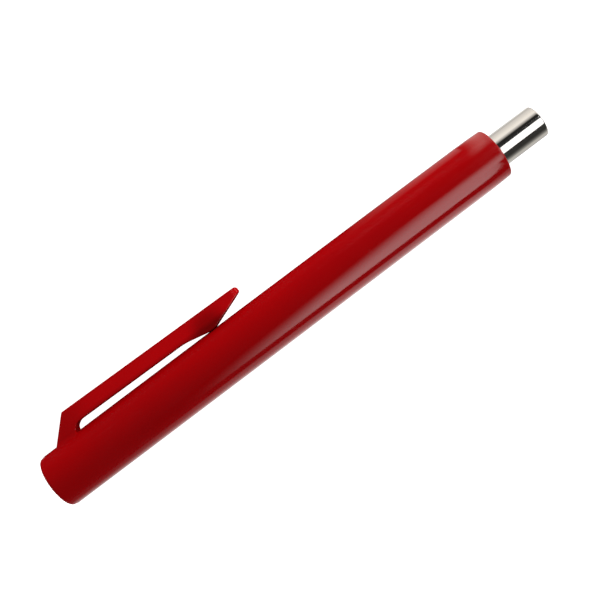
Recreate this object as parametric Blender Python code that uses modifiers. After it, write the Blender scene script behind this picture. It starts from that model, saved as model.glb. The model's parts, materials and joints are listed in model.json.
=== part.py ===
"""Twist-action ballpoint pen, lying on its side.

The pen's axis is X: the blunt rear end is at X = 0 and the bright nose points to +X.
The clip stands on the +Y side, and +Z is up. Turning the nose in the barrel drives a
cross pin along two helical slots, which pushes the refill out through the nose.
All sizes below are in millimetres and become metres where the geometry is made.
"""

import math

import bmesh
import bpy
from mathutils import Matrix, Vector

MM = 0.001
OBJECT_NAME = "twist_ballpoint_pen"

# Clearances
FIXED_GAP = 0.1          # between pieces that are pressed or seated together
RUNNING_GAP = 0.08       # between the nose tube and the bush it turns in
SLIDING_GAP = 0.1        # between pieces that slide or turn inside one another
PIN_GAP = 0.15           # around the cross pin in its slots
TOUCH_GAP = 0.3          # between the clip and the barrel it would touch

# Barrel
BARREL_LENGTH = 127.5
FRONT_WALL = 1.43         # around the front bore, before the mouth is rounded
BARREL_TAPER = 0.25       # how much slimmer the front is than the rear, in radius
BARREL_TAPER_POWER = 2.2  # 1 is a straight cone; above 1 most of the taper is in front
CROWN_LENGTH = 8.0        # the part behind the mouth that curves inward
CROWN_DROP = 0.16
REAR_FILLET = 0.85
MOUTH_FILLET = 0.45
FRONT_BORE_DEPTH = 14.0
CAM_SEAT_X = 20.0         # step at which the cam sleeve seats
CAM_STEP = 0.7
END_WALL = 3.0

# Clip, moulded with the barrel
CLIP_WIDTH = 4.4
CLIP_ROOT_X = 5.44        # where the foot leaves the barrel
CLIP_LENGTH = 55.25       # from there to the clip's end
CLIP_FOOT_ANGLE = 45.3    # degrees above the barrel
CLIP_RISE = 5.72          # outer edge above the barrel, at the foot's corner
CLIP_LEAN = 0.85          # how much lower the outer edge is at its end
CLIP_END_THICKNESS = 1.5
CLIP_CORNER_R = 0.7
CLIP_EDGE_R = 0.25
CLIP_PLAN_R = 1.9         # rounding of the clip's end, seen from above
FOOT_DEPTH = 5.7          # from the root to the start of the slot
SLOT_LEAN = 0.75          # how far the slot's closed end leans forward at its top
SLOT_HEIGHT = 1.74
SLOT_END_HEIGHT = 1.35
SLOT_ROOT_R = 2.4
BUMP_BACK = 10.3          # bump's middle behind the clip's end
BUMP_RISE_LENGTH = 7.4    # over which the inner edge comes down to the bump
BUMP_FLAT = 1.9
CLIP_SPLIT = 2.6          # the arm bends this far past the start of the slot
CLIP_KERF = 0.35

# Nose
NOSE_R = 4.05
NOSE_WALL = 0.45
NOSE_OUT = 12.5           # how far it stands out of the barrel
NOSE_EDGE_R = 0.45
NOSE_END_WALL = 0.6
NOSE_HOLE_R = 1.4
NOSE_FLANGE_GAP = 0.25    # between its flange and the front bore
NOSE_FLANGE_T = 1.2
NOSE_END_PLAY = 0.3       # between the barrel's step and the nose's flange
INSERT_LENGTH = 11.3
INSERT_BORE_R = 1.3
INSERT_SEAT_DEPTH = 3.3
INSERT_SEAT_R = 2.55
SPRING_SEAT_T = 0.3

# Front bush, its friction ring and the thrust washer behind it
BUSH_WALL = 0.77
BUSH_RECESS = 0.8
RING_WIRE_R = 0.25
RING_FROM_MOUTH = 5.0
RING_ROOM = 0.1           # around the friction ring in its groove
WASHER_T = 0.5

# Twist action
STROKE = 4.8
TWIST_DEG = 180.0
SLEEVE_LENGTH = 24.0
SLEEVE_WALL = 1.0
DRIVER_WALL = 0.6
DRIVER_SHOULDER = 0.9     # its thicker head starts this far behind the nose tube
DRIVER_END_PLAY = 0.3     # between the driver's rear end and the rear bearing
PIN_R = 0.6
PIN_END_GAP = 0.2         # between the cross pin's ends and the rear bore
PIN_START = 8.9           # cross pin ahead of the cam seat, nose retracted
CARRIER_TAIL = 2.0        # carrier behind the pin
CARRIER_SOLID = 2.4       # carrier ahead of the pin, up to the refill
CARRIER_SOCKET = 4.5
BEARING_SPIGOT = 3.5      # the part of the rear bearing inside the driver
BEARING_BORE_R = 1.5

# Refill
REFILL_R = 1.6
REFILL_BORE_R = 1.2
RETRACTED_DEPTH = 1.8     # writing ball behind the nose's end face, retracted
PLUG_LENGTH = 2.0
PLUG_VENT_R = 0.35
ADAPTER_FLANGE_R = 2.35
FLANGE_GAP = 0.25         # between the adapter's flange and the driver
ADAPTER_FLANGE_T = 2.0
ADAPTER_SPIGOT = 6.0
ADAPTER_R = 1.45
ADAPTER_BORE_R = 0.9
ADAPTER_FEED_R = 0.45
ADAPTER_STOP_GAP = 0.3    # between the adapter and the insert, with the refill out
TIP_R = 1.1
TIP_SHANK = 4.5
TIP_CONE_LENGTH = 3.5
TIP_RIM_R = 0.4
TIP_FEED_R = 0.22
BALL_R = 0.35
BALL_OUT = 0.2            # how far the ball stands out of its rim
BALL_GAP = 0.05
INK_LENGTH = 46.0
FOLLOWER_LENGTH = 4.0

# Return spring
SPRING_LENGTH = 12.7      # between the adapter's flange and its seat, retracted
SPRING_WIRE_R = 0.175
SPRING_MEAN_R = 2.0
SPRING_TURNS = 9
SPRING_POINTS_PER_TURN = 12

# Facets
OUTER_STEPS = 48
INNER_STEPS = 28
SMALL_STEPS = 20
HELIX_STEPS = 24

MATERIALS = {
    "red_plastic": ((0.30, 0.002, 0.003, 1.0), 0.12, 0.0),
    "chrome": ((0.86, 0.86, 0.87, 1.0), 0.05, 1.0),
    "grey_plastic": ((0.45, 0.46, 0.48, 1.0), 0.45, 0.0),
    "white_plastic": ((0.82, 0.82, 0.80, 1.0), 0.4, 0.0),
    "black_plastic": ((0.02, 0.02, 0.022, 1.0), 0.4, 0.0),
    "clear_tube": ((0.75, 0.78, 0.80, 1.0), 0.2, 0.0),
    "spring_steel": ((0.62, 0.62, 0.63, 1.0), 0.25, 1.0),
    "brass": ((0.78, 0.57, 0.24, 1.0), 0.25, 1.0),
    "carbide": ((0.35, 0.35, 0.37, 1.0), 0.15, 1.0),
    "rubber": ((0.03, 0.03, 0.03, 1.0), 0.7, 0.0),
    "ink": ((0.01, 0.015, 0.12, 1.0), 0.3, 0.0),
    "grease": ((0.72, 0.66, 0.42, 1.0), 0.35, 0.0),
}


# ---------------------------------------------------------------- places that follow

TOTAL_LENGTH = BARREL_LENGTH + NOSE_OUT
BUSH_BORE_R = NOSE_R + RUNNING_GAP
FRONT_BORE_R = BUSH_BORE_R + BUSH_WALL + FIXED_GAP
BARREL_FRONT_R = FRONT_BORE_R + FRONT_WALL
BARREL_REAR_R = BARREL_FRONT_R + BARREL_TAPER
STEP_X = BARREL_LENGTH - FRONT_BORE_DEPTH
NOSE_REAR_X = STEP_X + NOSE_END_PLAY
NOSE_BORE_R = NOSE_R - NOSE_WALL
NOSE_FLANGE_R = FRONT_BORE_R - NOSE_FLANGE_GAP
WASHER_X = NOSE_REAR_X + NOSE_FLANGE_T + FIXED_GAP
BUSH_REAR_X = WASHER_X + WASHER_T + FIXED_GAP
BUSH_FRONT_X = BARREL_LENGTH - BUSH_RECESS
INSERT_FRONT_X = TOTAL_LENGTH - NOSE_END_WALL - FIXED_GAP
INSERT_REAR_X = INSERT_FRONT_X - INSERT_LENGTH
INSERT_SEAT_X = INSERT_REAR_X + INSERT_SEAT_DEPTH
SPRING_SEAT_X = INSERT_SEAT_X - FIXED_GAP - SPRING_SEAT_T
DRIVER_BORE_R = ADAPTER_FLANGE_R + FLANGE_GAP
DRIVER_R = DRIVER_BORE_R + DRIVER_WALL
DRIVER_FRONT_X = INSERT_REAR_X - FIXED_GAP
DRIVER_HEAD_X = NOSE_REAR_X - DRIVER_SHOULDER
SLEEVE_BORE_R = DRIVER_R + SLIDING_GAP
SLEEVE_R = SLEEVE_BORE_R + SLEEVE_WALL
REAR_BORE_R = SLEEVE_R + FIXED_GAP
END_POCKET_R = REAR_BORE_R - CAM_STEP
PIN_X = CAM_SEAT_X + PIN_START
PIN_HALF = REAR_BORE_R - PIN_END_GAP
CARRIER_R = DRIVER_BORE_R - SLIDING_GAP
CARRIER_REAR_X = PIN_X - CARRIER_TAIL
REFILL_REAR_X = PIN_X + CARRIER_SOLID + FIXED_GAP
SHOULDER_X = SPRING_SEAT_X - SPRING_LENGTH
FLANGE_X = SHOULDER_X - ADAPTER_FLANGE_T
TUBE_FRONT_X = FLANGE_X - FIXED_GAP
ADAPTER_FRONT_X = INSERT_SEAT_X - STROKE - ADAPTER_STOP_GAP
TIP_SHOULDER_X = ADAPTER_FRONT_X + FIXED_GAP
BALL_FRONT_X = TOTAL_LENGTH - RETRACTED_DEPTH
BALL_X = BALL_FRONT_X - BALL_R
RIM_X = BALL_FRONT_X - BALL_OUT
CONE_X = RIM_X - TIP_CONE_LENGTH
CLIP_END_X = CLIP_ROOT_X + CLIP_LENGTH
SLOT_START_X = CLIP_ROOT_X + FOOT_DEPTH
CLIP_SPLIT_X = SLOT_START_X + CLIP_SPLIT
BUMP_X = CLIP_END_X - BUMP_BACK
BUMP_START_X = BUMP_X - BUMP_RISE_LENGTH


def barrel_radius(x):
    """The barrel's outer radius before its ends are rounded."""
    share = min(max(x / BARREL_LENGTH, 0.0), 1.0)
    taper = (BARREL_REAR_R - BARREL_FRONT_R) * share ** BARREL_TAPER_POWER
    into_crown = max(0.0, (x - BARREL_LENGTH + CROWN_LENGTH) / CROWN_LENGTH)
    return BARREL_REAR_R - taper - CROWN_DROP * into_crown ** 2


# ---------------------------------------------------------------- helpers

def clear_scene():
    for obj in list(bpy.data.objects):
        bpy.data.objects.remove(obj, do_unlink=True)


def new_collection(name, render=True):
    collection = bpy.data.collections.new(name)
    bpy.context.scene.collection.children.link(collection)
    collection.hide_render = not render
    return collection


def make_material(name):
    color, roughness, metallic = MATERIALS[name]
    material = bpy.data.materials.get(name) or bpy.data.materials.new(name)
    material.use_nodes = True
    shader = material.node_tree.nodes["Principled BSDF"]
    shader.inputs["Base Color"].default_value = color
    shader.inputs["Roughness"].default_value = roughness
    shader.inputs["Metallic"].default_value = metallic
    material.diffuse_color = color
    return material


def make_empty(name, x=0.0, y=0.0, z=0.0, parent=None):
    """A joint's axis or a group's place; x, y and z are in the world, in millimetres."""
    empty = bpy.data.objects.new(name, None)
    empty.empty_display_size = 5 * MM
    PARTS.objects.link(empty)
    empty.parent = parent
    empty.location = Vector((x, y, z)) * MM - world_place(parent)
    return empty


def world_place(obj):
    """Where an object's origin is, from its parents' locations."""
    place = Vector((0, 0, 0))
    while obj:
        place += obj.location
        obj = obj.parent
    return place


def add_object(name, data, material, parent):
    """A part whose mesh is in world coordinates, hung on its parent's axis."""
    obj = bpy.data.objects.new(name, data)
    PARTS.objects.link(obj)
    obj.parent = parent
    obj.location = Vector((0, 0, 0))
    data.transform(Matrix.Translation(-world_place(parent)))
    data.materials.append(make_material(material))
    return obj


def arc(cx, cy, radius, start_deg, end_deg, count):
    """Points of an arc in a profile's (x, r) plane."""
    points = []
    for i in range(count + 1):
        angle = math.radians(start_deg + (end_deg - start_deg) * i / count)
        points.append((cx + radius * math.cos(angle), cy + radius * math.sin(angle)))
    return points


def profile_mesh(name, points, closed):
    mesh = bpy.data.meshes.new(name)
    edges = [(i, i + 1) for i in range(len(points) - 1)]
    if closed:
        edges.append((len(points) - 1, 0))
    mesh.from_pydata([(x * MM, r * MM, 0.0) for x, r in points], edges, [])
    return mesh


def smooth(obj):
    obj.data.shade_smooth()
    obj.data.set_sharp_from_angle(angle=math.radians(35))


def evaluated_mesh(obj):
    graph = bpy.context.evaluated_depsgraph_get()
    graph.update()
    return bpy.data.meshes.new_from_object(obj.evaluated_get(graph))


def turned(name, points, steps, material, parent, closed=True):
    """A profile of (x, r) turned about the pen's axis.

    An open profile starts and ends on the axis; a closed one makes a ring."""
    profile = bpy.data.objects.new(name + "_profile", profile_mesh(name, points, closed))
    GUIDES.objects.link(profile)
    screw = profile.modifiers.new("turn", "SCREW")
    screw.axis = "X"
    screw.steps = steps
    screw.render_steps = steps
    screw.use_merge_vertices = True
    screw.merge_threshold = 1e-6
    mesh = evaluated_mesh(profile)
    bpy.data.objects.remove(profile, do_unlink=True)
    return add_object(name, face_outward(mesh), material, parent)


def face_outward(mesh):
    shape = bmesh.new()
    shape.from_mesh(mesh)
    bmesh.ops.remove_doubles(shape, verts=shape.verts, dist=1e-6)
    bmesh.ops.recalc_face_normals(shape, faces=shape.faces)
    if shape.calc_volume(signed=True) < 0:
        bmesh.ops.reverse_faces(shape, faces=shape.faces)
    shape.to_mesh(mesh)
    shape.free()
    return mesh


def outline_mesh(name, points, half, edge_r, plane):
    """A flat outline, thickened by half each way, with rounded edges.

    plane "XY" thickens along Z, and plane "XZ" thickens along Y."""
    curve = bpy.data.curves.new(name, "CURVE")
    curve.dimensions = "2D"
    curve.fill_mode = "BOTH"
    curve.extrude = (half - edge_r) * MM
    curve.bevel_depth = edge_r * MM
    curve.offset = -edge_r * MM
    curve.bevel_resolution = 1
    spline = curve.splines.new("POLY")
    spline.points.add(len(points) - 1)
    for point, (u, v) in zip(spline.points, points):
        point.co = (u * MM, v * MM, 0.0, 1.0)
    spline.use_cyclic_u = True
    obj = bpy.data.objects.new(name, curve)
    GUIDES.objects.link(obj)
    mesh = evaluated_mesh(obj)
    bpy.data.objects.remove(obj, do_unlink=True)
    if plane == "XZ":
        mesh.transform(Matrix.Rotation(math.radians(90), 4, "X"))
    return face_outward(mesh)


def rounded(points, radii, count=4):
    """An outline whose corners are replaced by arcs; a radius of 0 keeps the corner."""
    result = []
    for i, corner in enumerate(points):
        here = Vector(corner)
        if not radii[i]:
            result.append(tuple(here))
            continue
        back = (Vector(points[i - 1]) - here).normalized()
        ahead = (Vector(points[(i + 1) % len(points)]) - here).normalized()
        half = back.angle(ahead) / 2
        reach = radii[i] / math.tan(half)
        centre = here + (back + ahead).normalized() * (radii[i] / math.sin(half))
        first = here + back * reach - centre
        last = here + ahead * reach - centre
        turn = first.angle_signed(last)
        for k in range(count + 1):
            spoke = first.copy()
            spoke.rotate(Matrix.Rotation(-turn * k / count, 2))
            result.append(tuple(centre + spoke))
    return result


def cutter(name, mesh):
    obj = bpy.data.objects.new(name, mesh)
    CUTTERS.objects.link(obj)
    obj.hide_render = True
    obj.display_type = "WIRE"
    return obj


def boolean(obj, other, operation):
    modifier = obj.modifiers.new(other.name, "BOOLEAN")
    modifier.operation = operation
    modifier.solver = "EXACT"
    modifier.object = other
    return modifier


def bar_mesh(name, centre, size):
    """A box of the given size, in millimetres."""
    shape = bmesh.new()
    scale = Matrix.Diagonal((*(side * MM for side in size), 1.0))
    bmesh.ops.create_cube(shape, size=1.0, matrix=Matrix.Translation(Vector(centre) * MM) @ scale)
    mesh = bpy.data.meshes.new(name)
    shape.to_mesh(mesh)
    shape.free()
    return mesh


def rod_mesh(name, centre, radius, half, steps, edge=0.0):
    """A round rod along Z with its end edges broken."""
    shape = bmesh.new()
    bmesh.ops.create_cone(
        shape, cap_ends=True, segments=steps, radius1=radius * MM, radius2=radius * MM,
        depth=2 * half * MM, matrix=Matrix.Translation(Vector(centre) * MM),
    )
    if edge:
        rims = [e for e in shape.edges if abs(e.verts[0].co.z - e.verts[1].co.z) < 1e-9]
        bmesh.ops.bevel(shape, geom=rims, offset=edge * MM, segments=1, profile=0.5,
                        affect="EDGES", material=-1)
    mesh = bpy.data.meshes.new(name)
    shape.to_mesh(mesh)
    shape.free()
    return mesh


def tube_profile(x0, x1, r0, r1, edge=0.1):
    """A ring from x0 to x1 between radii r0 and r1, with its outer edges broken."""
    return [(x0, r0), (x0, r1 - edge), (x0 + edge, r1), (x1 - edge, r1), (x1, r1 - edge), (x1, r0)]


# ---------------------------------------------------------------- barrel and clip

def barrel_profile():
    points = [(0.0, 0.0), (0.0, BARREL_REAR_R - REAR_FILLET)]
    points += arc(REAR_FILLET, BARREL_REAR_R - REAR_FILLET, REAR_FILLET, 180, 90, 5)[1:]
    straight_end = BARREL_LENGTH - CROWN_LENGTH
    for i in range(1, 9):
        x = REAR_FILLET + (straight_end - REAR_FILLET) * i / 8
        points.append((x, barrel_radius(x)))
    curve_end = BARREL_LENGTH - MOUTH_FILLET
    for i in range(1, 6):
        x = straight_end + (curve_end - straight_end) * i / 5
        points.append((x, barrel_radius(x)))
    mouth_r = barrel_radius(curve_end) - MOUTH_FILLET
    points += arc(curve_end, mouth_r, MOUTH_FILLET, 90, 0, 3)[1:]
    points += [
        (BARREL_LENGTH, FRONT_BORE_R), (STEP_X, FRONT_BORE_R), (STEP_X, REAR_BORE_R),
        (CAM_SEAT_X, REAR_BORE_R), (CAM_SEAT_X, END_POCKET_R), (END_WALL, END_POCKET_R),
        (END_WALL, 0.0),
    ]
    return points


def foot_corner():
    """The outer corner of the clip, in side view."""
    root_y = barrel_radius(CLIP_ROOT_X)
    return CLIP_ROOT_X + CLIP_RISE / math.tan(math.radians(CLIP_FOOT_ANGLE)), root_y + CLIP_RISE


def clip_outer_y(x):
    """Height of the clip's outer edge, which leans toward the barrel."""
    corner_x, corner_y = foot_corner()
    return corner_y - CLIP_LEAN * (x - corner_x) / (CLIP_END_X - corner_x)


def slot_top_y(x):
    """Height of the clip's inner edge along the slot."""
    share = (x - SLOT_START_X) / (BUMP_START_X - SLOT_START_X)
    return barrel_radius(x) + SLOT_HEIGHT + (SLOT_END_HEIGHT - SLOT_HEIGHT) * share


def foot_outline():
    """Side view of the foot, from inside the barrel's wall up to the split."""
    root_y = barrel_radius(CLIP_ROOT_X)
    sunk = 1.0
    back_x = CLIP_ROOT_X - sunk / math.tan(math.radians(CLIP_FOOT_ANGLE))
    split = CLIP_SPLIT_X - CLIP_KERF / 2
    slot_x = SLOT_START_X + SLOT_LEAN
    points = [
        (back_x, root_y - sunk),
        foot_corner(),
        (split, clip_outer_y(split)),
        (split, slot_top_y(split)),
        (slot_x, slot_top_y(slot_x)),
        (SLOT_START_X, barrel_radius(SLOT_START_X)),
        (SLOT_START_X, root_y - sunk),
    ]
    root_r = min(SLOT_ROOT_R, 1.45 * (split - slot_x))
    return rounded(points, [0, CLIP_CORNER_R, 0, 0, root_r, 0, 0], count=6)


def arm_outline():
    """Side view of the springy arm with its bump and its upturned end."""
    start = CLIP_SPLIT_X + CLIP_KERF / 2
    bump_y = barrel_radius(BUMP_X) + TOUCH_GAP
    end_low = (CLIP_END_X, clip_outer_y(CLIP_END_X) - CLIP_END_THICKNESS)
    points = [
        (start, slot_top_y(start)),
        (start, clip_outer_y(start)),
        (CLIP_END_X, clip_outer_y(CLIP_END_X)),
        end_low,
        (BUMP_X + BUMP_FLAT / 2, bump_y),
        (BUMP_X - BUMP_FLAT / 2, bump_y),
        (BUMP_START_X, slot_top_y(BUMP_START_X)),
    ]
    return rounded(points, [0, 0, CLIP_CORNER_R, CLIP_CORNER_R * 0.6, 0.8, 2.5, 12.0])


def arm_plan():
    """The arm seen from above: straight sides and a rounded end."""
    back = CLIP_SPLIT_X
    half = CLIP_WIDTH / 2
    points = [(back, -half), (CLIP_END_X, -half), (CLIP_END_X, half), (back, half)]
    return rounded(points, [0, CLIP_PLAN_R, CLIP_PLAN_R, 0], count=5)


def build_barrel(parent):
    barrel = turned("barrel", barrel_profile(), OUTER_STEPS, "red_plastic", parent, closed=False)
    foot = outline_mesh("clip_foot", foot_outline(), CLIP_WIDTH / 2, CLIP_EDGE_R, "XY")
    boolean(barrel, cutter("clip_foot", foot), "UNION")
    smooth(barrel)


def build_clip_arm(parent):
    arm = outline_mesh("clip_arm", arm_outline(), CLIP_WIDTH / 2, CLIP_EDGE_R, "XY")
    obj = add_object("clip_arm", arm, "red_plastic", parent)
    reach = foot_corner()[1] + 3.0
    plan = outline_mesh("clip_plan", arm_plan(), reach, CLIP_EDGE_R, "XZ")
    boolean(obj, cutter("clip_plan", plan), "INTERSECT")
    smooth(obj)


# ---------------------------------------------------------------- fixed inner pieces

def build_cam_sleeve(parent):
    x0 = CAM_SEAT_X + FIXED_GAP
    profile = tube_profile(x0, x0 + SLEEVE_LENGTH, SLEEVE_BORE_R, SLEEVE_R)
    sleeve = turned("cam_sleeve", profile, INNER_STEPS, "grey_plastic", parent)
    for start_deg in (0.0, 180.0):
        boolean(sleeve, helical_cutter(start_deg), "DIFFERENCE")
    smooth(sleeve)


def helical_cutter(start_deg):
    """A bar through the sleeve's wall, swept along the path of one end of the pin."""
    half = PIN_R + PIN_GAP
    travel = math.radians(TWIST_DEG)
    slope = STROKE / travel
    extra = math.asin(min(0.9, half / SLEEVE_BORE_R))
    width = half / math.cos(math.atan(slope / SLEEVE_BORE_R))
    low = PIN_X - slope * extra
    inner, outer = SLEEVE_BORE_R - 0.6, SLEEVE_R + 0.6
    shape = bmesh.new()
    corners = ((-width, inner), (width, inner), (width, outer), (-width, outer))
    face = shape.faces.new([shape.verts.new(Vector((low + dx, 0.0, r)) * MM) for dx, r in corners])
    start = Matrix.Rotation(math.radians(start_deg) - extra, 4, "X")
    bmesh.ops.transform(shape, matrix=start, verts=shape.verts)
    sweep = travel + 2 * extra
    bmesh.ops.spin(
        shape, geom=[face, *face.edges, *face.verts], cent=(0, 0, 0), axis=(1, 0, 0),
        dvec=(slope * sweep / HELIX_STEPS * MM, 0, 0), angle=sweep, steps=HELIX_STEPS,
    )
    open_edges = [edge for edge in shape.edges if edge.is_boundary]
    if open_edges:
        bmesh.ops.holes_fill(shape, edges=open_edges, sides=4)
    name = f"helix_{int(start_deg)}"
    mesh = bpy.data.meshes.new(name)
    shape.to_mesh(mesh)
    shape.free()
    return cutter(name, face_outward(mesh))


def build_front_bush(parent):
    outer = FRONT_BORE_R - FIXED_GAP
    ring_x = BARREL_LENGTH - RING_FROM_MOUTH
    ring_r = NOSE_R + FIXED_GAP + RING_WIRE_R
    groove_half = RING_WIRE_R + RING_ROOM
    groove_r = ring_r + RING_WIRE_R + RING_ROOM
    profile = [
        (BUSH_REAR_X, BUSH_BORE_R), (BUSH_REAR_X, outer), (BUSH_FRONT_X, outer),
        (BUSH_FRONT_X, BUSH_BORE_R), (ring_x + groove_half, BUSH_BORE_R),
        (ring_x + groove_half, groove_r), (ring_x - groove_half, groove_r),
        (ring_x - groove_half, BUSH_BORE_R),
    ]
    smooth(turned("front_bush", profile, OUTER_STEPS, "black_plastic", parent))
    ring = arc(ring_x, ring_r, RING_WIRE_R, 0, 360, 8)[:-1]
    smooth(turned("friction_ring", ring, INNER_STEPS, "rubber", parent))
    washer_r = FRONT_BORE_R - SLIDING_GAP
    profile = tube_profile(WASHER_X, WASHER_X + WASHER_T, NOSE_R + SLIDING_GAP, washer_r)
    smooth(turned("thrust_washer", profile, OUTER_STEPS, "white_plastic", parent))


def build_rear_bearing(parent):
    """A hollow plug in the barrel's end pocket, whose spigot centres the driver."""
    back = END_WALL + FIXED_GAP
    front = CAM_SEAT_X + BEARING_SPIGOT
    body_r = END_POCKET_R - FIXED_GAP
    spigot_r = DRIVER_BORE_R - SLIDING_GAP
    profile = [
        (back, BEARING_BORE_R), (back, body_r - 0.3), (back + 0.3, body_r), (CAM_SEAT_X, body_r),
        (CAM_SEAT_X, spigot_r), (front - 0.3, spigot_r), (front, spigot_r - 0.3),
        (front, BEARING_BORE_R),
    ]
    smooth(turned("rear_bearing", profile, INNER_STEPS, "black_plastic", parent))


# ---------------------------------------------------------------- pieces that turn with the nose

def build_nose_tube(parent):
    front = TOTAL_LENGTH
    flange_x = NOSE_REAR_X + NOSE_FLANGE_T
    profile = [
        (NOSE_REAR_X, NOSE_BORE_R), (NOSE_REAR_X, NOSE_FLANGE_R), (flange_x, NOSE_FLANGE_R),
        (flange_x, NOSE_R), (BARREL_LENGTH, NOSE_R),
    ]
    profile += arc(front - NOSE_EDGE_R, NOSE_R - NOSE_EDGE_R, NOSE_EDGE_R, 90, 0, 4)
    profile += [
        (front, NOSE_HOLE_R), (front - NOSE_END_WALL, NOSE_HOLE_R),
        (front - NOSE_END_WALL, NOSE_BORE_R),
    ]
    smooth(turned("nose_tube", profile, OUTER_STEPS, "chrome", parent))


def build_nose_insert(parent):
    r = NOSE_BORE_R - FIXED_GAP
    profile = [
        (INSERT_REAR_X, INSERT_SEAT_R), (INSERT_REAR_X, r), (INSERT_FRONT_X - 0.4, r),
        (INSERT_FRONT_X, r - 0.4), (INSERT_FRONT_X, INSERT_BORE_R),
        (INSERT_SEAT_X, INSERT_BORE_R), (INSERT_SEAT_X, INSERT_SEAT_R),
    ]
    smooth(turned("nose_insert", profile, INNER_STEPS, "white_plastic", parent))
    ring = tube_profile(SPRING_SEAT_X, SPRING_SEAT_X + SPRING_SEAT_T, ADAPTER_R + SLIDING_GAP * 2,
                        INSERT_SEAT_R - FIXED_GAP, 0.05)
    smooth(turned("spring_seat", ring, INNER_STEPS, "spring_steel", parent))


def build_driver_tube(parent):
    rear = CAM_SEAT_X + DRIVER_END_PLAY
    head_r = NOSE_BORE_R - FIXED_GAP
    profile = [
        (rear, DRIVER_BORE_R), (rear, DRIVER_R - 0.1), (rear + 0.1, DRIVER_R),
        (DRIVER_HEAD_X, DRIVER_R), (DRIVER_HEAD_X + 0.3, head_r), (DRIVER_FRONT_X, head_r),
        (DRIVER_FRONT_X, DRIVER_BORE_R),
    ]
    driver = turned("driver_tube", profile, INNER_STEPS, "grey_plastic", parent)
    slot_half = PIN_R + PIN_GAP
    centre = (PIN_X + STROKE / 2, 0, 0)
    size = (STROKE + 2 * slot_half, 2 * slot_half, 2 * (DRIVER_R + 1))
    boolean(driver, cutter("driver_slot", bar_mesh("driver_slot", centre, size)), "DIFFERENCE")
    smooth(driver)


def build_return_spring(parent):
    """A coil from the refill's shoulder to the seat in the nose."""
    touch = SPRING_WIRE_R + 0.05
    start = SHOULDER_X + touch
    end = SPRING_SEAT_X - touch
    count = SPRING_TURNS * SPRING_POINTS_PER_TURN
    curve = bpy.data.curves.new("return_spring", "CURVE")
    curve.dimensions = "3D"
    curve.bevel_depth = SPRING_WIRE_R * MM
    curve.bevel_resolution = 1
    curve.use_fill_caps = True
    spline = curve.splines.new("POLY")
    spline.points.add(count)
    end_turn = SPRING_POINTS_PER_TURN
    end_pitch = 2 * SPRING_WIRE_R * 1.15
    for i, point in enumerate(spline.points):
        angle = 2 * math.pi * i / SPRING_POINTS_PER_TURN
        if i < end_turn:
            x = start + end_pitch * i / end_turn
        elif i > count - end_turn:
            x = end - end_pitch * (count - i) / end_turn
        else:
            share = (i - end_turn) / (count - 2 * end_turn)
            x = start + end_pitch + (end - start - 2 * end_pitch) * share
        place = Vector((x, SPRING_MEAN_R * math.cos(angle), SPRING_MEAN_R * math.sin(angle)))
        point.co = (*(place * MM), 1.0)
    guide = bpy.data.objects.new("return_spring_wire", curve)
    GUIDES.objects.link(guide)
    mesh = evaluated_mesh(guide)
    bpy.data.objects.remove(guide, do_unlink=True)
    smooth(add_object("return_spring", face_outward(mesh), "spring_steel", parent))


# ---------------------------------------------------------------- refill and what pushes it

def build_carrier(parent):
    front = REFILL_REAR_X - FIXED_GAP
    mouth = REFILL_REAR_X + CARRIER_SOCKET
    socket_r = REFILL_R + FIXED_GAP
    profile = [
        (CARRIER_REAR_X, 0.0), (CARRIER_REAR_X, CARRIER_R - 0.3), (CARRIER_REAR_X + 0.3, CARRIER_R),
        (mouth, CARRIER_R), (mouth, socket_r), (front, socket_r), (front, 0.0),
    ]
    carrier = turned("carrier", profile, INNER_STEPS, "white_plastic", parent, closed=False)
    hole = rod_mesh("pin_hole", (PIN_X, 0, 0), PIN_R + FIXED_GAP, CARRIER_R + 1, 16)
    boolean(carrier, cutter("pin_hole", hole), "DIFFERENCE")
    smooth(carrier)
    pin = rod_mesh("cross_pin", (PIN_X, 0, 0), PIN_R, PIN_HALF, 16, edge=0.15)
    smooth(add_object("cross_pin", pin, "spring_steel", parent))


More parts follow.
